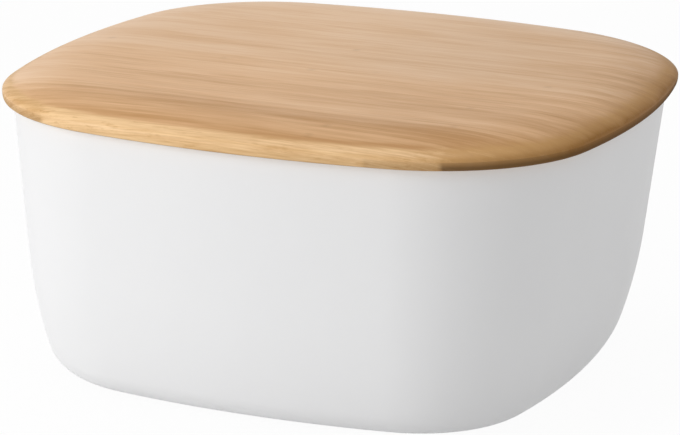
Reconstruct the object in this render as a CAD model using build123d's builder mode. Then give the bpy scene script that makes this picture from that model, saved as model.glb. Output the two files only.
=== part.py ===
from build123d import *
import os
from math import asin, atan2, cos, degrees, radians, sin, tan

# Bread box: a moulded tub, and a loose lid of glued bamboo staves with a soft ring under it.
# Millimetres. Z is up and -Y is the front. The origin is the middle of the base, on the table.

# Plan outline, the same rounded square for the lid and, drawn in, for the tub
lid_width = 345.0
lid_depth = 345.0
side_bulge = 22.6  # how far each side bows out between the corner points it is drawn from
corner_radius = 99.5

# Lid board
lid_thickness = 14.0
roll_width = 45.0  # the soft roll-off round the top, measured in from the edge
roll_drop = 9.4
undercut_height = 4.5
undercut_depth = 1.6
stave_count = 17

# Tub
tub_height = 152.5
lid_overhang = 6.0  # the lid's edge past the tub's rim, all round
wall = 3.4
draft = 5.9  # degrees, on the straight upper part of the wall
belly_height = 67.5  # where the straight wall turns into the slow belly arc
belly_radius = 265.0
heel_radius = 21.0  # the tighter arc from the belly to the base
rim_round = 1.0
standing_width = 8.0  # flat ring that the tub stands on
base_recess = 1.2

# Soft ring under the lid
groove_depth = 4.0
groove_width = 3.6
root_clearance = 0.05
skirt_depth = 6.0  # how far the ring stands down inside the rim
skirt_width = 6.0
skirt_round = 1.2
skirt_clearance = 0.3  # between the ring and the tub's wall
groove_shoulder = 1.2  # the ring's shoulder outside its root

lid_top = tub_height + lid_thickness
stave_width = lid_depth / stave_count
draft_run = tan(radians(draft))
draft_sin = sin(radians(draft))
draft_cos = cos(radians(draft))

# The belly arc ends where the heel arc can still come down flat on the table.
heel_start_sin = (belly_height - heel_radius + belly_radius * draft_sin) / (belly_radius - heel_radius)
belly_turn = degrees(asin(heel_start_sin)) - draft
heel_turn = 90 - draft - belly_turn

up = Vector(0, 0, 1)


def arcs(outline, inset=0):
    """Each arc of an outline drawn in by an inset: centre, radius, direction out to its start, angle."""
    for edge in outline.edges():
        centre = edge.arc_center
        start = edge @ 0
        if (edge % 0).dot(up.cross(start - centre)) < 0:
            start = edge @ 1
        yield centre, edge.radius - inset, (start - centre).normalized(), degrees(edge.length / edge.radius)


def drawn_in(outline, inset):
    """The outline moved inwards all round: each arc keeps its centre, and its radius loses the inset."""
    with BuildSketch() as inner:
        with BuildLine():
            for centre, radius, outward, angle in arcs(outline, inset):
                CenterArc(centre, radius, degrees(atan2(outward.Y, outward.X)), angle)
        make_face()
    return inner.sketch


def turned_sections(section, outline, mode=Mode.ADD):
    """Adds a section to the part in hand, or cuts it away, all the way round an outline.

    The section's x runs outwards from the outline and its y runs up. On each arc of the outline it
    stands across the arc's start and is turned about the arc's centre.
    """
    for centre, radius, outward, angle in arcs(outline):
        across = Plane(origin=centre + outward * radius, x_dir=outward, z_dir=outward.cross(up))
        with BuildSketch(across) as standing:
            add(section)
        revolve(standing.sketch.faces(), axis=Axis(centre, up), revolution_arc=angle, mode=mode)


def wall_face(depth):
    """The wall's line from rim to base, at a depth in from the outer face, and its two ends.

    It is straight at the draft angle, then turns in with the belly arc and the heel arc.
    """
    fall = tub_height - belly_height
    foot = (-fall * draft_run - depth * draft_cos, belly_height + depth * draft_sin)
    straight = Line((-depth / draft_cos, tub_height), foot)
    belly = JernArc(straight @ 1, straight % 1, belly_radius - depth, -belly_turn)
    heel = JernArc(belly @ 1, belly % 1, heel_radius - depth, -heel_turn)
    return straight @ 0, heel @ 1


# Lid outline: four bowed sides whose corners are rounded tangent to them
half_width = lid_width / 2
half_depth = lid_depth / 2
corner_x = half_width - side_bulge
corner_y = half_depth - side_bulge
with BuildSketch() as lid_outline:
    with BuildLine():
        ThreePointArc((-corner_x, -corner_y), (0, -half_depth), (corner_x, -corner_y))
        ThreePointArc((corner_x, -corner_y), (half_width, 0), (corner_x, corner_y))
        ThreePointArc((corner_x, corner_y), (0, half_depth), (-corner_x, corner_y))
        ThreePointArc((-corner_x, corner_y), (-half_width, 0), (-corner_x, -corner_y))
    make_face()
    fillet(lid_outline.vertices(), radius=corner_radius)

rim_outline = drawn_in(lid_outline.sketch, lid_overhang)

# Tub section, from the rim's outer edge inwards: wall, belly, heel, standing ring and floor
with BuildSketch() as tub_section:
    with BuildLine():
        rim_outside, base_edge = wall_face(0)
        rim_inside, floor_edge = wall_face(wall)
        standing_inside = base_edge.X - standing_width
        floor_end = standing_inside - 2 * base_recess
        Line(rim_outside, rim_inside)
        Polyline(
            base_edge,
            (standing_inside, 0),
            (standing_inside - base_recess, base_recess),
            (floor_end, base_recess),
            (floor_end, wall),
            floor_edge,
        )
    make_face()
    fillet(tub_section.vertices().group_by(Axis.Y)[-1], radius=rim_round)

with BuildPart() as tub:
    with BuildSketch(Plane.XY.offset(base_recess)):
        add(drawn_in(rim_outline, -floor_end))
    extrude(amount=wall - base_recess)
    turned_sections(tub_section.sketch, rim_outline)

# Soft ring: a root that fills the groove, a shoulder, and a skirt that follows the tub's drafted wall
skirt_outside = -wall / draft_cos - skirt_clearance
skirt_tip = skirt_outside - skirt_depth * draft_run
root_outside = skirt_outside - groove_shoulder
with BuildSketch() as ring_section:
    with BuildLine():
        Polyline(
            (skirt_outside, tub_height),
            (skirt_tip, tub_height - skirt_depth),
            (skirt_outside - skirt_width, tub_height - skirt_depth),
            (skirt_outside - skirt_width, tub_height),
            close=True,
        )
    make_face()
    fillet(ring_section.vertices().group_by(Axis.Y)[0], radius=skirt_round)
    with Locations((root_outside - groove_width / 2, tub_height)):
        Rectangle(
            groove_width - 2 * root_clearance, groove_depth, align=(Align.CENTER, Align.MIN)
        )

with BuildPart() as lid_seal:
    turned_sections(ring_section.sketch, rim_outline)

# Lid section, from the widest edge inwards: the roll-off above, the undercut below
roll_end = -roll_width - undercut_depth
with BuildSketch() as edge_section:
    with BuildLine():
        roll = EllipticalCenterArc(
            (-roll_width, lid_top - roll_drop),
            roll_width,
            roll_drop,
            start_angle=0,
            arc_size=90,
        )
        undercut = EllipticalCenterArc(
            (-undercut_depth, tub_height + undercut_height),
            undercut_depth,
            undercut_height,
            start_angle=270,
            arc_size=90,
        )
        Line(undercut @ 1, roll @ 0)
        Polyline(roll @ 1, (roll_end, lid_top), (roll_end, tub_height), undercut @ 0)
    make_face()

with BuildSketch() as groove_section:
    with Locations((root_outside - groove_width / 2, tub_height)):
        Rectangle(groove_width, groove_depth, align=(Align.CENTER, Align.MIN))

with BuildPart() as board:
    with BuildSketch(Plane.XY.offset(tub_height)):
        add(drawn_in(lid_outline.sketch, -roll_end))
    extrude(amount=lid_thickness)
    turned_sections(edge_section.sketch, lid_outline.sketch)
    turned_sections(groove_section.sketch, rim_outline, mode=Mode.SUBTRACT)

os.makedirs("parts", exist_ok=True)

tub.part.label = "tub"
export_step(tub.part, "parts/tub.step")

lid_seal.part.label = "lid_seal"
export_step(lid_seal.part, "parts/lid_seal.step")

# The board is laid up from staves, numbered from the front, each glued to the next along a flat face.
for number in range(stave_count):
    front = number * stave_width - half_depth
    with BuildPart() as stave:
        add(board.part)
        if number > 0:
            split(bisect_by=Plane.ZX.offset(front), keep=Keep.TOP)
        if number < stave_count - 1:
            split(bisect_by=Plane.ZX.offset(front + stave_width), keep=Keep.BOTTOM)
    name = f"lid_stave_{number + 1:02d}"
    stave.part.label = name
    export_step(stave.part, f"parts/{name}.step")
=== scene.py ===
from math import atan2, cos, pi, radians, sin, sqrt, tan

import bmesh
import bpy
import numpy as np
from bpy.props import FloatProperty, FloatVectorProperty, IntProperty, PointerProperty
from mathutils import Matrix, Vector


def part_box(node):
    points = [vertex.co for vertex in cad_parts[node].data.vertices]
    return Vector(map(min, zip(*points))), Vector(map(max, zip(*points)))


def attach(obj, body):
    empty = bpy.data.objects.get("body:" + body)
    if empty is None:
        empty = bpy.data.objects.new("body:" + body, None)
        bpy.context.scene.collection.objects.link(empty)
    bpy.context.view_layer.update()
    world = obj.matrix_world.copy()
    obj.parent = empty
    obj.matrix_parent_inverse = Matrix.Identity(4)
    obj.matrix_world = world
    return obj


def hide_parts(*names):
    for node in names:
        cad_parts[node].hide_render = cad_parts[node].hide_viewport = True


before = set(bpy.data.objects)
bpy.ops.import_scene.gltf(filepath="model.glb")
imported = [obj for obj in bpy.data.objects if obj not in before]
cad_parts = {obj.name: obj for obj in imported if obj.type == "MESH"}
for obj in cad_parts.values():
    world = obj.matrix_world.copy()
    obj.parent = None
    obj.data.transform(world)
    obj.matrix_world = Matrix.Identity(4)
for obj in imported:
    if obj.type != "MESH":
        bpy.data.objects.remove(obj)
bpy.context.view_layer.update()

bl_info = {
    "name": "Bread box",
    "version": (1, 0, 0),
    "blender": (4, 5, 0),
    "location": "View3D > Sidebar > Bread box",
    "description": "A moulded bread box with a board lid, its finishes and its studio",
    "category": "Add Mesh",
}

# Sizes are in metres. Z is up, -Y is the front and the tub stands on z = 0.
STAVE_NODES = sorted(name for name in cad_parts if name.startswith("lid_stave"))
LID_LOW = Vector(np.min([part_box(name)[0] for name in STAVE_NODES], axis=0))
LID_HIGH = Vector(np.max([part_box(name)[1] for name in STAVE_NODES], axis=0))
STAVE_WIDTH = (LID_HIGH.y - LID_LOW.y) / len(STAVE_NODES)
MM = 0.001

# Facets along the curves of the profiles, and the angle from which an edge is shaded as sharp
HEEL_STEPS = 20
BELLY_STEPS = 14
WALL_STEPS = 8
EASED_STEPS = 5
UNDERCUT_STEPS = 10
ROLL_STEPS = 40
SHARP_ANGLE = radians(30)

BLACK = 0, 0, 0
WHITE = 1, 1, 1

# Bamboo, in millimetres: the widths of its strips and laths, how far the grain strays to the side,
# the length that joint marks are spread over and how far a mark reaches along its strip
STRIP_WIDTH = 5.2
LATH_WIDTH = 14.0
GRAIN_DRIFT = 7.0
JOINT_SPREAD = 340.0
JOINT_REACH = 0.3, 3.4

# How far up the board's surface looks, from -1 to 1, where one look of the bamboo turns to the
# next:
# painted shade on the shoulder, a painted highlight on the steep roll, painted shade in the
# undercut and its crease, and none of that shade on the flat underside
SHOULDER = 0.96, 0.98
STEEP = 0.915, 0.965
UNDERCUT = -0.3, 0.22
CREASE = -0.85, -0.4
UNDERSIDE = -0.995, -0.9

# The least that a squared slope counts as, so that the flat top divides by more than 0
LEAST_SLOPE = 0.0004

# How much further back the gold's streaks lie for each millimetre that they rise on the roll
ROLL_LEAN = 1.8

# Patterns of the grain: the size of their clouds in millimetres along, across and up, then the
# detail and the roughness of their noise. Broad streaks and dashes have a seed for their height.
DRIFT = (240, 70, 70), 1.0, 0.5
BANDS = (120, 6.5, 9), 3.0, 0.6
STREAKS = (32, 2.0, 3), 3.0, 0.6
FIBRES = (22, 0.5, 0.8), 3.0, 0.65
CLOUDS = (90, 24, 24), 2.0, 0.5
BROAD_STREAKS = (60, 6, 1), 3.0, 0.6
DASHES = (24, 2.0, 1), 3.0, 0.6
SMUDGES = (13, 3.4, 3.4), 3.0, 0.6
PORES = (5, 0.8, 0.8), 1.0, 0.5

# Stops of (place, number). The first set is the tone of the board from its front, at 0, to its
# back, at 1, partly the grain's own tone and partly painted light that pales the back. The others
# run from its left end, at 0, to its right end, at 1: how dark each piece of its front edge is, in
# three parts, which sets the depth of its gold and the strength of the painted shade in its
# undercut, and how deep the gold of the painted highlight on the roll is, in two.
TONE_FROM_FRONT = (0.0, 0.9), (0.08, 0.86), (0.18, 0.66), (0.35, 0.5), (0.6, 0.26), (1.0, 0.0)
LEFT_PIECE = (0.0, 0.3), (0.177, 0.3)
FRONT_PIECE = (0.183, 0.05), (0.52, 0.05), (0.62, 0.13), (0.709, 0.13)
RIGHT_PIECES = (0.715, 0.33), (0.818, 0.33), (0.824, 0.85)
LEFT_GOLDEN = (0.0, 0.53), (0.16, 0.53), (0.19, 0.14), (0.3, 0.17), (0.42, 0.3), (0.52, 0.37)
RIGHT_GOLDEN = (0.62, 0.4), (0.68, 0.37), (0.72, 0.29), (0.8, 0.31), (0.84, 0.44)

# A Mix node has sockets for each type of data. These are its share, its two colours and its result.
MIX_SHARE, MIX_FIRST, MIX_SECOND = 0, 6, 7
MIX_RESULT = 2

# The width of the camera's sensor, in millimetres, and how far it sees, in metres
SENSOR_WIDTH = 36
VIEW_REACH = 20


# Sizes and finishes that a user would change


class BreadBoxForm(bpy.types.PropertyGroup):
    """The sizes of the tub, the board and the ring."""

    side_bulge: FloatProperty(
        name="Side bulge",
        description="How far a side bows out between the two points it is drawn from",
        default=22.6 * MM,
        unit="LENGTH",
    )
    corner_radius: FloatProperty(
        name="Corner radius",
        description="Radius of the lid's corners in plan",
        default=99.5 * MM,
        unit="LENGTH",
    )
    roll_width: FloatProperty(
        name="Roll width",
        description="Width of the soft roll-off round the top of the board",
        default=45 * MM,
        unit="LENGTH",
    )
    roll_drop: FloatProperty(
        name="Roll drop",
        description="How far the roll-off falls to the board's edge",
        default=9.4 * MM,
        unit="LENGTH",
    )
    undercut_height: FloatProperty(
        name="Undercut height",
        description="Height of the curve under the board's edge",
        default=4.5 * MM,
        unit="LENGTH",
    )
    undercut_depth: FloatProperty(
        name="Undercut depth",
        description="How far the curve under the edge runs in",
        default=1.6 * MM,
        unit="LENGTH",
    )
    overhang: FloatProperty(
        name="Overhang",
        description="The lid's edge past the tub's rim",
        default=6 * MM,
        unit="LENGTH",
    )
    wall: FloatProperty(
        name="Wall",
        description="Thickness of the tub",
        default=3.4 * MM,
        unit="LENGTH",
    )
    draft: FloatProperty(
        name="Draft",
        description="Slope of the upper wall",
        default=radians(5.9),
        subtype="ANGLE",
    )
    belly_height: FloatProperty(
        name="Belly height",
        description="Height at which the straight wall turns into the belly arc",
        default=67.5 * MM,
        unit="LENGTH",
    )
    belly_radius: FloatProperty(
        name="Belly radius",
        description="Radius of the slow arc of the lower wall",
        default=265 * MM,
        unit="LENGTH",
    )
    heel_radius: FloatProperty(
        name="Heel radius",
        description="Radius of the arc from the belly to the base",
        default=21 * MM,
        unit="LENGTH",
    )
    rim_round: FloatProperty(
        name="Rim round",
        description="Radius of the rim's two edges",
        default=1 * MM,
        unit="LENGTH",
    )
    standing_width: FloatProperty(
        name="Standing width",
        description="Width of the flat ring that the tub stands on",
        default=8 * MM,
        unit="LENGTH",
    )
    base_recess: FloatProperty(
        name="Base recess",
        description="How far the middle of the base clears the table",
        default=1.2 * MM,
        unit="LENGTH",
    )
    groove_depth: FloatProperty(
        name="Groove depth",
        description="Depth of the ring's groove in the board",
        default=4 * MM,
        unit="LENGTH",
    )
    groove_width: FloatProperty(
        name="Groove width",
        description="Width of the ring's groove in the board",
        default=3.6 * MM,
        unit="LENGTH",
    )
    root_clearance: FloatProperty(
        name="Root clearance",
        description="Gap between the ring's root and each wall of the groove",
        default=0.05 * MM,
        unit="LENGTH",
    )
    skirt_depth: FloatProperty(
        name="Skirt depth",
        description="How far the ring stands down inside the rim",
        default=6 * MM,
        unit="LENGTH",
    )
    skirt_width: FloatProperty(
        name="Skirt width",
        description="Width of the ring below the board",
        default=6 * MM,
        unit="LENGTH",
    )
    skirt_round: FloatProperty(
        name="Skirt round",
        description="Radius of the ring's two lower edges",
        default=1.2 * MM,
        unit="LENGTH",
    )
    skirt_clearance: FloatProperty(
        name="Skirt clearance",
        description="Gap between the ring and the tub's wall",
        default=0.3 * MM,
        unit="LENGTH",
    )
    groove_shoulder: FloatProperty(
        name="Groove shoulder",
        description="The ring's shoulder outside its root",
        default=1.2 * MM,
        unit="LENGTH",
    )
    side_steps: IntProperty(
        name="Side steps",
        description="Facets along each bowed side",
        default=24,
        min=4,
    )
    corner_steps: IntProperty(
        name="Corner steps",
        description="Facets round each corner",
        default=56,
        min=8,
    )


class BreadBoxFinish(bpy.types.PropertyGroup):
    """The colours of bamboo, melamine and silicone."""

    bamboo_pale: FloatVectorProperty(
        name="Pale bamboo",
        description="The lightest strips of the board",
        default=(0.95, 0.648, 0.408),
        subtype="COLOR",
    )
    bamboo_middle: FloatVectorProperty(
        name="Middle bamboo",
        description="The commonest tone of the board",
        default=(0.853, 0.524, 0.278),
        subtype="COLOR",
    )
    bamboo_deep: FloatVectorProperty(
        name="Deep bamboo",
        description="The darkest strips of the board",
        default=(0.61, 0.322, 0.124),
        subtype="COLOR",
    )
    # A painted highlight: the gold that the steep part of the roll takes on where it catches the
    # light
    bamboo_gold_highlight: FloatVectorProperty(
        name="Golden bamboo",
        description="The pale side of the strips, on the steep part of the roll",
        default=(0.95, 0.645, 0.343),
        subtype="COLOR",
    )
    bamboo_amber: FloatVectorProperty(
        name="Amber bamboo",
        description="The deep streaks in the golden bamboo",
        default=(0.64, 0.36, 0.135),
        subtype="COLOR",
    )
    end_grain: FloatVectorProperty(
        name="End grain",
        description="Bamboo cut across its fibres",
        default=(0.33, 0.14, 0.012),
        subtype="COLOR",
    )
    node_mark: FloatVectorProperty(
        name="Node mark",
        description="The short dark marks where a cane had its joints",
        default=(0.36, 0.19, 0.075),
        subtype="COLOR",
    )
    melamine: FloatVectorProperty(
        name="Melamine",
        description="The moulded tub",
        default=(0.88, 0.88, 0.885),
        subtype="COLOR",
    )
    silicone: FloatVectorProperty(
        name="Silicone",
        description="The soft ring",
        default=(0.80, 0.80, 0.78),
        subtype="COLOR",
    )


class BreadBoxStudio(bpy.types.PropertyGroup):
    """The camera, the lamps, the sky and the floor."""

    azimuth: FloatProperty(
        name="Azimuth",
        description="How far the camera stands round to the right of the front",
        default=radians(20.925),
        subtype="ANGLE",
    )
    elevation: FloatProperty(
        name="Elevation",
        description="How far the camera looks down",
        default=radians(15.24),
        subtype="ANGLE",
    )
    roll: FloatProperty(
        name="Roll",
        description="How far the camera leans about its line of sight",
        default=radians(1.491),
        subtype="ANGLE",
    )
    distance: FloatProperty(
        name="Distance",
        description="From the camera to the middle of the box",
        default=1.843,
        unit="LENGTH",
    )
    lens: FloatProperty(
        name="Lens",
        description=f"Focal length on a sensor {SENSOR_WIDTH} mm wide",
        default=174.38,
    )
    slide_right: FloatProperty(
        name="Slide right",
        description="The camera's place to the right of its line to the middle",
        default=-2.15 * MM,
        unit="LENGTH",
    )
    slide_up: FloatProperty(
        name="Slide up",
        description="The camera's place above its line to the middle",
        default=-6.05 * MM,
        unit="LENGTH",
    )
    sky: FloatProperty(
        name="Sky",
        description="Strength of the even light from all round",
        default=0.52,
    )
    ceiling: FloatProperty(
        name="Ceiling",
        description="Strength of the ceiling in reflections",
        default=0.12,
    )
    key: FloatProperty(
        name="Key lamp",
        description="Power of the large lamp at the front left",
        default=14.4,
    )
    key_azimuth: FloatProperty(
        name="Key azimuth",
        description="How far the key lamp stands round to the right of the front",
        default=radians(-40),
        subtype="ANGLE",
    )
    key_elevation: FloatProperty(
        name="Key elevation",
        description="How far the key lamp looks down",
        default=radians(20),
        subtype="ANGLE",
    )
    top: FloatProperty(
        name="Top lamp",
        description="Power of the lamp above the box",
        default=9.9,
    )
    top_azimuth: FloatProperty(
        name="Top azimuth",
        description="How far the top lamp stands round to the right of the front",
        default=radians(-108),
        subtype="ANGLE",
    )
    top_elevation: FloatProperty(
        name="Top elevation",
        description="How far the top lamp looks down",
        default=radians(81),
        subtype="ANGLE",
    )
    lamp_size: FloatProperty(
        name="Lamp size",
        description="Side of each square lamp",
        default=1.1,
        unit="LENGTH",
    )
    lamp_distance: FloatProperty(
        name="Lamp distance",
        description="From each lamp to the middle of the tub",
        default=2.0,
        unit="LENGTH",
    )
    floor: FloatVectorProperty(
        name="Floor",
        description="Colour of the floor",
        default=(0.9, 0.9, 0.9),
        subtype="COLOR",
    )
    floor_reach: FloatProperty(
        name="Floor reach",
        description="Half the side of the square floor",
        default=4.0,
        unit="LENGTH",
    )
    floor_drop: FloatProperty(
        name="Floor drop",
        description="How far the floor lies below the foot of the tub",
        default=0.2 * MM,
        unit="LENGTH",
    )
    floor_glow: FloatProperty(
        name="Floor glow",
        description="Share of plain white in the floor that lights the box from below",
        default=0.07,
    )
    floor_white: FloatProperty(
        name="Floor white",
        description="Share of plain white that camera, mirror and glass rays see beyond the glow",
        default=0.88,
    )


# Profiles: arrays of (inset from the plan outline, height)


def arc(centre, radii, start, end, steps):
    """Points centre + (-radii_x cos a, radii_z sin a) as the angle a goes from start to end.

    The inset grows inwards, so angle 0 points out of the object and a quarter turn points up.
    """
    angle = np.linspace(start, end, steps + 1)
    return np.column_stack(
        (centre[0] - radii[0] * np.cos(angle), centre[1] + radii[1] * np.sin(angle))
    )


def wall_line(form, depth, rim):
    """The tub's wall from the base up to the rim, at a depth in from the outer face.

    With draft a, the point at tangent angle t of an arc of radius r about c is
    c - (r - depth)(cos t, sin t). The heel arc has t from a quarter turn down to b and the belly
    arc from b down to a, where sin b = (belly height - heel + belly sin a) / (belly - heel) brings
    the heel arc down flat on the table. Above them the wall is straight to the rim.
    """
    slope = form.draft
    foot = np.array(((rim - form.belly_height) * tan(slope), form.belly_height))
    inwards = np.array((cos(slope), sin(slope)))
    belly_centre = foot + form.belly_radius * inwards
    arc_gap = form.belly_radius - form.heel_radius
    turn_sin = (belly_centre[1] - form.heel_radius) / arc_gap
    turn = atan2(turn_sin, sqrt(1 - turn_sin**2))
    heel_centre = belly_centre - arc_gap * np.array((cos(turn), sin(turn)))
    heel_radius = form.heel_radius - depth
    belly_radius = form.belly_radius - depth
    heel = arc(heel_centre, (heel_radius, heel_radius), -pi / 2, -turn, HEEL_STEPS)
    belly = arc(belly_centre, (belly_radius, belly_radius), -turn, -slope, BELLY_STEPS)
    top = np.array((depth / cos(slope), rim))
    straight = np.linspace(belly[-1], top, WALL_STEPS + 1)
    return np.vstack((heel, belly[1:], straight[1:]))


def eased(corner, before, after, radius):
    """A corner rounded by an arc that touches the lines to the points before and after it.

    With unit vectors u and v along the two lines and the angle w between them, the arc starts at
    corner + u radius / tan(w / 2), and its centre lies at
    corner + (u + v) / |u + v| radius / sin(w / 2).
    """
    u = (before - corner) / np.linalg.norm(before - corner)
    v = (after - corner) / np.linalg.norm(after - corner)
    half = np.arccos(np.clip(u @ v, -1, 1)) / 2
    middle = corner + (u + v) / np.linalg.norm(u + v) * radius / sin(half)
    first = corner + u * radius / tan(half) - middle
    last = corner + v * radius / tan(half) - middle
    share = np.linspace(0, 1, EASED_STEPS + 1)[:, None]
    turn = pi - 2 * half
    return middle + (np.sin((1 - share) * turn) * first + np.sin(share * turn) * last) / sin(turn)


# Surfaces


def plan_outline(form):
    """Samples once round the lid's plan outline: arc centres, arc radii and angles.

    A side is an arc through (c, -c), (half, 0) and (c, c), where c = half - bulge, so its radius is
    R = (c^2 + bulge^2) / (2 bulge) and its centre is (half - R, 0). A corner is an arc of radius r
    about (m, m), tangent to both sides: |(m, m) - (half - R, 0)| = R - r.
    """
    half = LID_HIGH.x
    chord = half - form.side_bulge
    side_radius = (chord**2 + form.side_bulge**2) / (2 * form.side_bulge)
    back = side_radius - half
    gap = side_radius - form.corner_radius
    middle = (sqrt(2 * gap**2 - back**2) - back) / 2
    turn = atan2(middle, middle + back)
    side = np.linspace(-turn, turn, form.side_steps, endpoint=False)
    corner = np.linspace(turn, pi / 2 - turn, form.corner_steps, endpoint=False)
    angle = np.concatenate((side, corner))
    on_side = np.arange(len(angle)) < len(side)
    centre = np.where(on_side, -back + 0j, middle + middle * 1j)
    radius = np.where(on_side, side_radius, form.corner_radius)
    quarters = np.arange(4) * pi / 2
    angles = (angle + quarters[:, None]).ravel()
    centres = (centre * np.exp(1j * quarters[:, None])).ravel()
    return centres, np.tile(radius, 4), angles


def carried(name, profile, outline, closed=False):
    """A profile carried round an outline, as one closed surface.

    In plan, point (i, j) lies at centre_j + (radius_j - inset_i)(cos angle_j, sin angle_j), and its
    height is z_i. The profile runs up its outer side, so that the faces look outwards. A closed one
    joins its last point to its first, and an open one is capped at both ends by a flat face.
    """
    centres, radii, angles = outline
    plan = centres + (radii - profile[:, :1]) * np.exp(1j * angles)
    height = np.broadcast_to(profile[:, 1:], plan.shape)
    points = np.stack((plan.real, plan.imag, height), axis=-1)
    rows, around = plan.shape
    number = np.arange(rows * around).reshape(rows, around)
    ring = np.vstack((number, number[:1])) if closed else number
    low, high = ring[:-1], ring[1:]
    ahead = np.roll(low, -1, axis=1), np.roll(high, -1, axis=1)
    quads = np.stack((low, ahead[0], ahead[1], high), axis=-1).reshape(-1, 4)
    faces = quads.tolist()
    if not closed:
        faces += [number[0, ::-1].tolist(), number[-1].tolist()]
    mesh = bpy.data.meshes.new(name)
    mesh.from_pydata(points.reshape(-1, 3).tolist(), [], faces)
    return mesh


def board_slice(name, board, front, back):
    """The part of the board between two upright planes, closed by a flat face at each cut."""
    slab = bmesh.new()
    slab.from_mesh(board)
    for place, outwards in ((front, -1), (back, 1)):
        cut = bmesh.ops.bisect_plane(
            slab,
            geom=slab.verts[:] + slab.edges[:] + slab.faces[:],
            plane_co=(0, place, 0),
            plane_no=(0, outwards, 0),
            clear_outer=True,
        )
        edges = [part for part in cut["geom_cut"] if isinstance(part, bmesh.types.BMEdge)]
        if edges:
            bmesh.ops.contextual_create(slab, geom=edges)
    bmesh.ops.recalc_face_normals(slab, faces=slab.faces[:])
    mesh = bpy.data.meshes.new(name)
    slab.to_mesh(mesh)
    slab.free()
    return mesh


def placed(mesh, body, slot, finish, *nodes):
    """A mesh as a smooth-shaded piece that rides on a body and takes the place of CAD nodes."""
    mesh.polygons.foreach_set("use_smooth", np.ones(len(mesh.polygons), bool))
    mesh.set_sharp_from_angle(angle=SHARP_ANGLE)
    mesh.materials.append(finish)
    piece = bpy.data.objects.new(mesh.name, mesh)
    bpy.context.scene.collection.objects.link(piece)
    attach(piece, body)
    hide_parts(*nodes)
    return piece


# Finishes


class Field:
    """A number that changes over a surface. Arithmetic on it adds Math nodes to its finish."""

    def __init__(self, finish, socket):
        self.finish = finish
        self.socket = socket

    def math(self, operation, *inputs):
        """The result of a Math node."""
        node = self.finish.node("ShaderNodeMath", {"operation": operation}, dict(enumerate(inputs)))
        return Field(self.finish, node.outputs["Value"])

    def __add__(self, other):
        return self.math("ADD", self, other)

    def __radd__(self, other):
        return self.math("ADD", other, self)

    def __sub__(self, other):
        return self.math("SUBTRACT", self, other)

    def __rsub__(self, other):
        return self.math("SUBTRACT", other, self)

    def __mul__(self, other):
        return self.math("MULTIPLY", self, other)

    def __rmul__(self, other):
        return self.math("MULTIPLY", other, self)

    def __truediv__(self, other):
        return self.math("DIVIDE", self, other)

    def __abs__(self):
        return self.math("ABSOLUTE", self)

    def floor(self):
        return self.math("FLOOR", self)

    def root(self):
        return self.math("SQRT", self)

    def highest(self, other):
        return self.math("MAXIMUM", self, other)

    def rise(self, low, high):
        """0 up to low, 1 from high on, and a smooth step between them."""
        node = self.finish.node(
            "ShaderNodeMapRange",
            {"interpolation_type": "SMOOTHSTEP"},
            {"Value": self, "From Min": low, "From Max": high},
        )
        return Field(self.finish, node.outputs["Result"])


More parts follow.
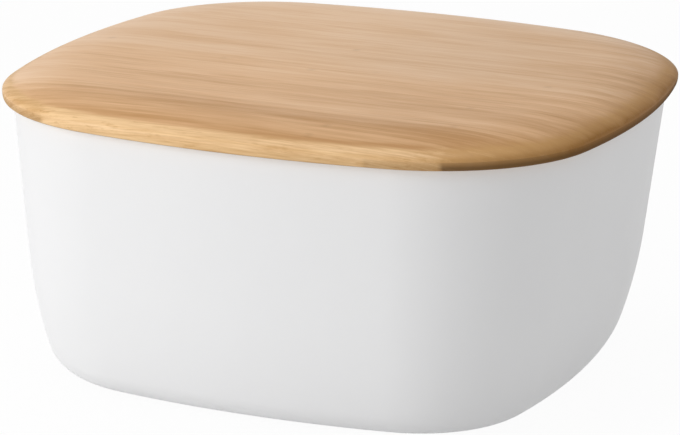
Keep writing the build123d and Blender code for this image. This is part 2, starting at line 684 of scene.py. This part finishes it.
class Nodes:
    """A node tree in the making."""

    def __init__(self, tree):
        self.tree = tree
        self.tree.nodes.clear()

    def node(self, kind, settings=None, inputs=None):
        """A node of a type, with its settings made first and then its sockets' values or links."""
        node = self.tree.nodes.new(kind)
        for key, value in (settings or {}).items():
            if key == "stops":
                self.set_stops(node.color_ramp, value)
            else:
                setattr(node, key, value)
        for key, value in (inputs or {}).items():
            self.feed(node.inputs[key], value)
        return node

    def set_stops(self, ramp, stops):
        """Gives a colour ramp its (position, colour) stops."""
        while len(ramp.elements) < len(stops):
            ramp.elements.new(1.0)
        for element, (position, colour) in zip(ramp.elements, stops):
            element.position = position
            element.color = (*colour, 1)

    def feed(self, socket, value):
        """Links a field or a socket to an input, or writes a number or a colour there."""
        if isinstance(value, Field):
            self.tree.links.new(value.socket, socket)
        elif isinstance(value, bpy.types.NodeSocket):
            self.tree.links.new(value, socket)
        elif socket.type == "RGBA":
            socket.default_value = (*value, 1)
        else:
            socket.default_value = value

    def axes(self, vector):
        """The x, y and z of a vector, as three fields."""
        parts = self.node("ShaderNodeSeparateXYZ", {}, {"Vector": vector})
        return [Field(self, output) for output in parts.outputs]

    def vector(self, x, y, z):
        """A vector joined from three fields or numbers."""
        return self.node("ShaderNodeCombineXYZ", {}, {"X": x, "Y": y, "Z": z}).outputs["Vector"]

    def noise(self, vector, scale=1.0, detail=3.0, roughness=0.5):
        """Cloudy noise with a middle of 0.5."""
        node = self.node(
            "ShaderNodeTexNoise",
            {},
            {"Vector": vector, "Scale": scale, "Detail": detail, "Roughness": roughness},
        )
        return Field(self, node.outputs["Fac"])

    def swing(self, place, sizes, detail, roughness):
        """Noise about 0 with clouds of three sizes along the three directions of a place."""
        stretched = self.vector(*(part / size for part, size in zip(place, sizes)))
        return self.noise(stretched, detail=detail, roughness=roughness) - 0.5

    def chance(self, field, seed):
        """A random number from 0 to 1 for each whole number of a field."""
        node = self.node(
            "ShaderNodeTexWhiteNoise",
            {"noise_dimensions": "2D"},
            {"Vector": self.vector(field, seed, 0.0)},
        )
        return Field(self, node.outputs["Value"])

    def strips(self, across, seed):
        """A random number from 0 to 1 for each of a row of strips of uneven width, about 1 wide."""
        node = self.node(
            "ShaderNodeTexVoronoi",
            {"voronoi_dimensions": "1D", "feature": "F1"},
            {"W": across + seed, "Scale": 1.0, "Randomness": 0.9},
        )
        tone = self.node("ShaderNodeSeparateColor", {}, {"Color": node.outputs["Color"]})
        return Field(self, tone.outputs["Red"])

    def ramp(self, field, stops):
        """A number read from straight lines between (place, number) stops."""
        greys = [(place, (tone,) * 3) for place, tone in stops]
        node = self.node("ShaderNodeValToRGB", {"stops": greys}, {"Fac": field})
        tone = self.node("ShaderNodeSeparateColor", {}, {"Color": node.outputs["Color"]})
        return Field(self, tone.outputs["Red"])

    def mixed(self, share, first, second):
        """The second colour laid over the first by a share."""
        node = self.node(
            "ShaderNodeMix",
            {"data_type": "RGBA", "clamp_factor": True},
            {MIX_SHARE: share, MIX_FIRST: first, MIX_SECOND: second},
        )
        return node.outputs[MIX_RESULT]

    def bump(self, height, distance, strength):
        """A normal raised by a height from 0 to 1 over a distance in metres."""
        inputs = {"Strength": strength, "Distance": distance, "Height": height}
        return self.node("ShaderNodeBump", {}, inputs).outputs["Normal"]

    def output(self, kind, node):
        """Makes a node's first output the tree's surface."""
        for old in [old for old in self.tree.nodes if old.bl_idname == kind]:
            self.tree.nodes.remove(old)
        self.node(kind, {}, {"Surface": node.outputs[0]})


class Finish(Nodes):
    """A material with one Principled shader, and its place on the object in millimetres."""

    def __init__(self, name, **sockets):
        self.material = bpy.data.materials.new(name)
        self.material.use_nodes = True
        super().__init__(self.material.node_tree)
        self.shader = self.node("ShaderNodeBsdfPrincipled")
        self.apply(**sockets)
        self.output("ShaderNodeOutputMaterial", self.shader)
        coordinates = self.node("ShaderNodeTexCoord").outputs
        self.facing = coordinates["Normal"]
        scaled = self.node(
            "ShaderNodeVectorMath",
            {"operation": "SCALE"},
            {"Vector": coordinates["Object"], "Scale": 1 / MM},
        )
        self.place = scaled.outputs["Vector"]

    def apply(self, **sockets):
        """Feeds the shader's own sockets, and returns the material."""
        for key, value in sockets.items():
            self.feed(self.shader.inputs[key.replace("_", " ")], value)
        return self.material


def dimmed(colour, share):
    """A colour at a share of its brightness."""
    return [share * channel for channel in colour]


class Bamboo(Finish):
    """The oiled bamboo of the board, and the patterns that its layers of colour share.

    Places are in millimetres: x to the right, y to the back and z up. The grain runs along x.
    """

    def __init__(self, colours):
        super().__init__("bamboo", IOR=1.45)
        self.colours = colours
        self.x, self.y, self.z = self.axes(self.place)
        self.facing_x, self.facing_y, self.facing_up = self.axes(self.facing)
        self.across = self.y + self.swing((self.x, self.y, self.z), *DRIFT) * GRAIN_DRIFT
        self.along = self.x / (2 * LID_HIGH.x / MM) + 0.5
        with_grain = self.x, self.across, self.z
        self.bands = self.swing(with_grain, *BANDS)
        self.streaks = self.swing(with_grain, *STREAKS)
        self.fibres = self.swing(with_grain, *FIBRES)
        self.smudges = self.swing(with_grain, *SMUDGES)
        self.clouds = self.swing((self.x, self.y, self.z), *CLOUDS)
        self.piece = self.ramp(self.along, LEFT_PIECE + FRONT_PIECE + RIGHT_PIECES)
        self.right_end = self.x.rise(60, 140)

    def flat(self):
        """The grain of the board's top.

        It is deeper towards the front and paler towards the back, partly its own tone and partly
        painted light. It is deeper at the right, with painted shade on the shoulder of the right
        half, paler at the left, and darker towards the right and the back by painted shade. Staves,
        uneven strips and laths differ a little, and bands, streaks and fibres run along them.
        """
        x, y, across = self.x, self.y, self.across
        stave = ((y + LID_HIGH.y / MM) / (STAVE_WIDTH / MM)).floor()
        from_front = across / (2 * LID_HIGH.y / MM) + 0.5
        staves = (self.chance(stave, seed=3.7) - 0.5) * 0.08
        strips = (self.strips(across / STRIP_WIDTH, seed=41.0) - 0.5) * 0.18
        laths = (self.strips(across / LATH_WIDTH, seed=12.0) - 0.5) * 0.14
        joined_contrast = 1.3 - from_front
        lines = self.bands * 0.95 + self.streaks * 0.85 + self.fibres * 0.3
        line_contrast = 0.76 + from_front * 0.44
        # Deeper towards the front and paler towards the back: partly the grain's own tone, partly
        # painted light
        tone = self.ramp(from_front, TONE_FROM_FRONT) + self.clouds * 0.7
        tone = tone + (staves + strips + laths) * joined_contrast + lines * line_contrast

        right_side = x.rise(20, 160)
        left_end = 1 - x.rise(-172, -100)
        left_corner = (1 - x.rise(-160, -105)) * (1 - y.rise(-100, -45))
        tone = tone + right_side * 0.2 - left_end * 0.15 - left_corner * 0.28
        # Painted shade on the shoulder of the right half, where the roll turns away from the light
        right_half = x.rise(-40, 40) * (1 - x.rise(70, 130) * 0.8)
        tone = tone + (1 - self.facing_up.rise(*SHOULDER)) * right_half * 0.5

        # From pale to middle for tones of 0 to 0.5, and on to deep for tones above
        pale = self.mixed(tone * 2, self.colours.bamboo_pale, self.colours.bamboo_middle)
        grain = self.mixed(tone * 1.5 - 0.75, pale, self.colours.bamboo_deep)
        # Painted shade: the grain mixed towards black, darker towards the right and the back, where
        # less light falls
        painted_shade_right = x.rise(-60, 80) * (0.05 + y.rise(-40, 20) * 0.025)
        painted_shade_back = y.rise(-60, 20) * 0.05
        return self.mixed(painted_shade_right + painted_shade_back, grain, BLACK)

    def golden(self):
        """A painted highlight in gold on the steep part of the roll, with the grain of the strips
        in it.

        It has smudges, and amber streaks and dashes that lean over the roll.
        """
        leaning = self.across + self.z * ROLL_LEAN
        broad = self.swing((self.x, leaning, 4.0), *BROAD_STREAKS)
        dashes = self.swing((self.x, leaning, 9.0), *DASHES)
        smudged = self.smudges.rise(0.04, 0.2) * (0.65 - self.along.rise(0.2, 0.5) * 0.4)
        tone = self.ramp(self.along, LEFT_GOLDEN + RIGHT_GOLDEN)
        tone = tone + self.piece * 0.45 + self.right_end * 0.3
        tone = tone + dashes * 1.7 + broad * 1.2 + self.fibres * 0.5 + smudged
        return self.mixed(tone, self.colours.bamboo_gold_highlight, self.colours.bamboo_amber)

    def steep(self):
        """1 on the steep part of the roll and below it, where the painted highlight goes, and 0 on
        the flat.
        """
        return 1 - (self.facing_up + self.bands * 0.08 - self.right_end * 0.02).rise(*STEEP)

    def joint(self):
        """1 at the short mark that a few strips have where their cane had a joint, 0 elsewhere."""
        strip = (self.across / STRIP_WIDTH).floor()
        place = self.chance(strip, seed=8.1) * JOINT_SPREAD - JOINT_SPREAD / 2
        distance = abs(self.x - place + self.fibres * 6.0)
        marked = self.chance(strip, seed=5.3).rise(0.7, 0.9)
        return (1 - distance.rise(*JOINT_REACH)) * marked

    def cut_across_and_shade(self):
        """How far the fibres are cut across, with painted shade: a share that grows as the wood
        slopes to the side.

        The slope to the side is facing_x^2 / sqrt(1 - facing_up^2), with most of facing_y^2 added
        at the far right corner as painted shade. The right end shows it in full, cut fibres and
        painted shade where the end turns from the light, and the left end hardly at all, though its
        fibres are cut across too.
        """
        x, y = self.x, self.y
        far_corner = y.rise(10, 80) * x.rise(60, 130) * 0.8
        sideways = self.facing_x * self.facing_x + self.facing_y * self.facing_y * far_corner
        steepness = (1 - self.facing_up * self.facing_up).highest(LEAST_SLOPE).root()
        onset = 0.15 - y.rise(-140, -80) * 0.08 - y.rise(-60, 60) * 0.05
        cut = ((sideways / steepness - onset + self.bands * 0.3) * 1.4).highest(0)
        return cut * (0.04 + x.rise(0, 60) * 0.96)

    def finished(self):
        """The material in layers.

        They are the grain, with a painted highlight in gold where the roll is steep, then joint
        marks, wood cut across its fibres with painted shade at the right end, and painted shade in
        the undercut and in its crease at the flat underside.
        """
        colours = self.colours
        joint = self.joint()
        cut_across_and_shade = self.cut_across_and_shade()
        # Painted highlight: gold on the steep part of the roll, where it catches the light
        grain = self.mixed(self.steep() * 0.95, self.flat(), self.golden())
        marked = self.mixed(joint * 0.16, grain, colours.node_mark)
        pores = self.swing((self.x, self.y, self.z), *PORES).rise(0.05, 0.22)
        cut_grain = self.mixed(pores * 0.4, colours.end_grain, colours.node_mark)
        # End grain where the fibres are cut, with painted shade where the right end turns from the
        # light
        colour = self.mixed(cut_across_and_shade * (0.9 + self.clouds * 1.2), marked, cut_grain)
        # Painted shade: the undercut and its crease, facing down and away from the light, darkened
        # towards dim end grain; the flat underside is left plain
        off_underside = self.facing_up.rise(*UNDERSIDE)
        undercut = (1 - self.facing_up.rise(*UNDERCUT)) * off_underside
        crease = (1 - self.facing_up.rise(*CREASE)) * off_underside
        shaded = (undercut * self.piece).highest(crease * 0.6)
        colour = self.mixed(shaded, colour, dimmed(colours.end_grain, 0.3))
        roughness = 0.42 + self.streaks * 0.22 + cut_across_and_shade * 0.15 + undercut * 0.3
        relief = self.bump(self.streaks * 0.4 + self.fibres * 0.6 - joint * 0.5, 0.12 * MM, 0.6)
        return self.apply(Base_Color=colour, Roughness=roughness, Normal=relief)


def melamine_finish(colours):
    """Matt moulded melamine.

    It is an almost even white, with a faint flow mottle, a fine texture, and grey scuffs on the
    ring that it stands on.
    """
    finish = Finish("melamine", IOR=1.5)
    height = finish.axes(finish.place)[2]
    mottle = finish.noise(finish.place, scale=0.02)
    grit = finish.noise(finish.place, scale=1.6, roughness=0.7)
    scuff = finish.noise(finish.place, scale=0.35, detail=5.0, roughness=0.75).rise(0.52, 0.72)
    low = 1 - height.rise(0.0, 1.6)
    shade = (mottle - 0.5) * 0.05 + (grit - 0.5) * 0.02 + low * scuff * 0.22 + 0.02
    colour = finish.mixed(shade, colours.melamine, dimmed(colours.melamine, 0.62))
    roughness = 0.5 + (mottle - 0.5) * 0.1 + (grit - 0.5) * 0.14
    relief = finish.bump(grit, 0.04 * MM, 0.5)
    return finish.apply(Base_Color=colour, Roughness=roughness, Normal=relief)


def silicone_finish(colours):
    """Milky silicone: faintly cloudy, with a dull sheen and a trace of dust on it."""
    finish = Finish("silicone", IOR=1.42)
    clouds = finish.noise(finish.place, scale=0.06)
    dust = finish.noise(finish.place, scale=1.1, detail=4.0, roughness=0.7)
    shade = clouds * 0.25 + dust.rise(0.55, 0.75) * 0.15
    colour = finish.mixed(shade, colours.silicone, dimmed(colours.silicone, 0.78))
    roughness = 0.55 + (dust - 0.5) * 0.2
    relief = finish.bump(dust, 0.03 * MM, 0.4)
    return finish.apply(Base_Color=colour, Roughness=roughness, Normal=relief)


# Operators


class BREADBOX_OT_tub(bpy.types.Operator):
    """Make the moulded tub."""

    bl_idname = "breadbox.tub"
    bl_label = "Tub"

    def execute(self, context):
        form = context.scene.bread_box_form
        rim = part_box("tub")[1].z
        outer = wall_line(form, 0.0, rim)
        inner = wall_line(form, form.wall, rim)[::-1]
        outer_rim = eased(outer[-1], outer[-2], inner[0], form.rim_round)
        inner_rim = eased(inner[0], outer[-1], inner[1], form.rim_round)
        ring_inside = outer[0, 0] + form.standing_width
        recess_edge = ring_inside + form.base_recess
        middle = recess_edge + form.base_recess
        base = np.array(
            (
                (middle, form.base_recess),
                (recess_edge, form.base_recess),
                (ring_inside, 0.0),
            )
        )
        floor = np.array(((middle, form.wall),))
        profile = np.vstack((base, outer[:-1], outer_rim, inner_rim, inner[1:], floor))
        profile[:, 0] += form.overhang
        mesh = carried("moulded_tub", profile, plan_outline(form))
        placed(mesh, "tub", "melamine", melamine_finish(context.scene.bread_box_finish), "tub")
        return {"FINISHED"}


class BREADBOX_OT_staves(bpy.types.Operator):
    """Make the board, cut into the staves that it is glued from."""

    bl_idname = "breadbox.staves"
    bl_label = "Board staves"

    def execute(self, context):
        form = context.scene.bread_box_form
        finish = Bamboo(context.scene.bread_box_finish).finished()
        under, top = LID_LOW.z, LID_HIGH.z
        roll_foot = top - form.roll_drop
        flat_edge = form.roll_width + form.undercut_depth
        groove_out = form.overhang + root_outside(form)
        groove_in = groove_out + form.groove_width
        groove_top = under + form.groove_depth
        underside = np.array(
            (
                (flat_edge, under),
                (groove_in, under),
                (groove_in, groove_top),
                (groove_out, groove_top),
                (groove_out, under),
            )
        )
        undercut = arc(
            (form.undercut_depth, under + form.undercut_height),
            (form.undercut_depth, form.undercut_height),
            -pi / 2,
            0,
            UNDERCUT_STEPS,
        )
        roll = arc(
            (form.roll_width, roll_foot),
            (form.roll_width, form.roll_drop),
            0,
            pi / 2,
            ROLL_STEPS,
        )
        profile = np.vstack((underside, undercut, roll, ((flat_edge, top),)))
        board = carried("board", profile, plan_outline(form))
        for number, node in enumerate(STAVE_NODES, 1):
            low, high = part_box(node)
            mesh = board_slice(f"bamboo_stave_{number:02d}", board, low.y, high.y)
            placed(mesh, "lid", "bamboo", finish, node)
        bpy.data.meshes.remove(board)
        return {"FINISHED"}


def root_outside(form):
    """Inset of the ring's root from the tub's rim outline, at the underside of the board."""
    return form.wall / cos(form.draft) + form.skirt_clearance + form.groove_shoulder


class BREADBOX_OT_ring(bpy.types.Operator):
    """Make the soft ring in the underside of the board."""

    bl_idname = "breadbox.ring"
    bl_label = "Soft ring"

    def execute(self, context):
        form = context.scene.bread_box_form
        under = LID_LOW.z
        tip = under - form.skirt_depth
        root = root_outside(form)
        outside = root - form.groove_shoulder
        inside = outside + form.skirt_width
        outer_tip = np.array((outside + form.skirt_depth * tan(form.draft), tip))
        inner_tip = np.array((inside, tip))
        outer_top = np.array((outside, under))
        inner_top = np.array((inside, under))
        root_top = under + form.groove_depth
        root_out = root + form.root_clearance
        root_in = root + form.groove_width - form.root_clearance
        profile = np.vstack(
            (
                eased(inner_tip, inner_top, outer_tip, form.skirt_round),
                eased(outer_tip, inner_tip, outer_top, form.skirt_round),
                outer_top,
                (root_out, under),
                (root_out, root_top),
                (root_in, root_top),
                (root_in, under),
                inner_top,
            )
        )
        profile[:, 0] += form.overhang
        mesh = carried("silicone_ring", profile, plan_outline(form), closed=True)
        finish = silicone_finish(context.scene.bread_box_finish)
        placed(mesh, "lid", "silicone", finish, "lid_seal")
        return {"FINISHED"}


def direction(azimuth, elevation):
    """The way out from the box at an azimuth, round to the right of the front, and an elevation."""
    return Vector((sin(azimuth) * cos(elevation), -cos(azimuth) * cos(elevation), sin(elevation)))


class BREADBOX_OT_studio(bpy.types.Operator):
    """Set up the floor, the light and the camera."""

    bl_idname = "breadbox.studio"
    bl_label = "Studio"

    def execute(self, context):
        studio = context.scene.bread_box_studio
        context.scene.view_settings.view_transform = "Standard"
        self.floor(context, studio)
        self.sky(context, studio)
        key_way = direction(studio.key_azimuth, studio.key_elevation)
        top_way = direction(studio.top_azimuth, studio.top_elevation)
        self.lamp(context, studio, "key", studio.key, key_way)
        self.lamp(context, studio, "top", studio.top, top_way)
        self.camera(context, studio)
        return {"FINISHED"}

    def floor(self, context, studio):
        """A wide pale floor that camera, mirror and glass rays see mostly as plain white."""
        reach = studio.floor_reach
        corners = (-reach, -reach), (reach, -reach), (reach, reach), (-reach, reach)
        mesh = bpy.data.meshes.new("floor")
        mesh.from_pydata([(x, y, -studio.floor_drop) for x, y in corners], [], [(0, 1, 2, 3)])
        finish = Finish("floor", Base_Color=studio.floor, Roughness=1.0, Specular_IOR_Level=0.0)
        path = finish.node("ShaderNodeLightPath").outputs
        seen = Field(finish, path["Is Camera Ray"])
        seen = seen.highest(path["Is Glossy Ray"]).highest(path["Is Transmission Ray"])
        glow = finish.node("ShaderNodeEmission", {}, {"Color": WHITE, "Strength": 1.0})
        white = studio.floor_glow + seen * studio.floor_white
        blend = finish.node(
            "ShaderNodeMixShader", {}, {0: white, 1: finish.shader.outputs[0], 2: glow.outputs[0]}
        )
        finish.output("ShaderNodeOutputMaterial", blend)
        mesh.materials.append(finish.material)
        floor = bpy.data.objects.new("floor", mesh)
        context.scene.collection.objects.link(floor)

    def sky(self, context, studio):
        """An even sky.

        Camera and glass rays see plain white, and mirror rays see a white backdrop low down and a
        dimmer ceiling above it.
        """
        world = bpy.data.worlds.new("studio")
        context.scene.world = world
        world.use_nodes = True
        finish = Nodes(world.node_tree)
        path = finish.node("ShaderNodeLightPath").outputs
        height = finish.axes(finish.node("ShaderNodeTexCoord").outputs["Generated"])[2]
        backdrop = 1 - height.rise(0.10, 0.42)
        mirrored = studio.ceiling + backdrop * (1 - studio.ceiling)
        plain = Field(finish, path["Is Camera Ray"]).highest(path["Is Transmission Ray"])
        glossy = Field(finish, path["Is Glossy Ray"])
        strength = plain + (1 - plain) * (glossy * mirrored + (1 - glossy) * studio.sky)
        light = finish.node("ShaderNodeBackground", {}, {"Color": WHITE, "Strength": strength})
        finish.output("ShaderNodeOutputWorld", light)

    def lamp(self, context, studio, name, power, way):
        """A square soft lamp that stands some way out from the box and faces it."""
        light = bpy.data.lights.new(name, "AREA")
        light.energy = power
        light.size = studio.lamp_size
        lamp = bpy.data.objects.new(name, light)
        context.scene.collection.objects.link(lamp)
        lamp.location = Vector((0, 0, LID_LOW.z / 2)) + way * studio.lamp_distance
        lamp.rotation_euler = way.to_track_quat("Z", "Y").to_euler()

    def camera(self, context, studio):
        """The camera, at a distance from the middle of the box, slid and rolled to frame it."""
        lean = studio.roll
        back = direction(studio.azimuth, studio.elevation)
        level = Vector((cos(studio.azimuth), sin(studio.azimuth), 0))
        rise = back.cross(level)
        right = level * cos(lean) + rise * sin(lean)
        up = rise * cos(lean) - level * sin(lean)
        middle = Vector((0, 0, LID_HIGH.z / 2))
        place = middle + back * studio.distance + right * studio.slide_right + up * studio.slide_up
        data = bpy.data.cameras.new("camera")
        data.lens = studio.lens
        data.sensor_width = SENSOR_WIDTH
        data.clip_end = VIEW_REACH
        camera = bpy.data.objects.new("camera", data)
        context.scene.collection.objects.link(camera)
        turned = Matrix((right, up, back)).transposed().to_4x4()
        camera.matrix_world = Matrix.Translation(place) @ turned
        context.scene.camera = camera


class BREADBOX_PT_panel(bpy.types.Panel):
    """The bread box's pieces, sizes, finishes and studio."""

    bl_label = "Bread box"
    bl_idname = "BREADBOX_PT_panel"
    bl_space_type = "VIEW_3D"
    bl_region_type = "UI"
    bl_category = "Bread box"

    def draw(self, context):
        layout = self.layout
        for operator in OPERATORS:
            layout.operator(operator.bl_idname)
        scene = context.scene
        for group in (scene.bread_box_form, scene.bread_box_finish, scene.bread_box_studio):
            box = layout.box()
            for name in group.bl_rna.properties.keys():
                if name not in ("rna_type", "name"):
                    box.prop(group, name)


OPERATORS = (BREADBOX_OT_studio, BREADBOX_OT_tub, BREADBOX_OT_staves, BREADBOX_OT_ring)
GROUPS = {
    "bread_box_form": BreadBoxForm,
    "bread_box_finish": BreadBoxFinish,
    "bread_box_studio": BreadBoxStudio,
}


def register():
    for name, group in GROUPS.items():
        bpy.utils.register_class(group)
        setattr(bpy.types.Scene, name, PointerProperty(type=group))
    for operator in OPERATORS:
        bpy.utils.register_class(operator)
    bpy.utils.register_class(BREADBOX_PT_panel)


def unregister():
    bpy.utils.unregister_class(BREADBOX_PT_panel)
    for operator in reversed(OPERATORS):
        bpy.utils.unregister_class(operator)
    for name, group in reversed(GROUPS.items()):
        delattr(bpy.types.Scene, name)
        bpy.utils.unregister_class(group)


def main():
    register()
    bpy.ops.breadbox.studio()
    bpy.ops.breadbox.tub()
    bpy.ops.breadbox.staves()
    bpy.ops.breadbox.ring()


if __name__ == "__main__":
    main()
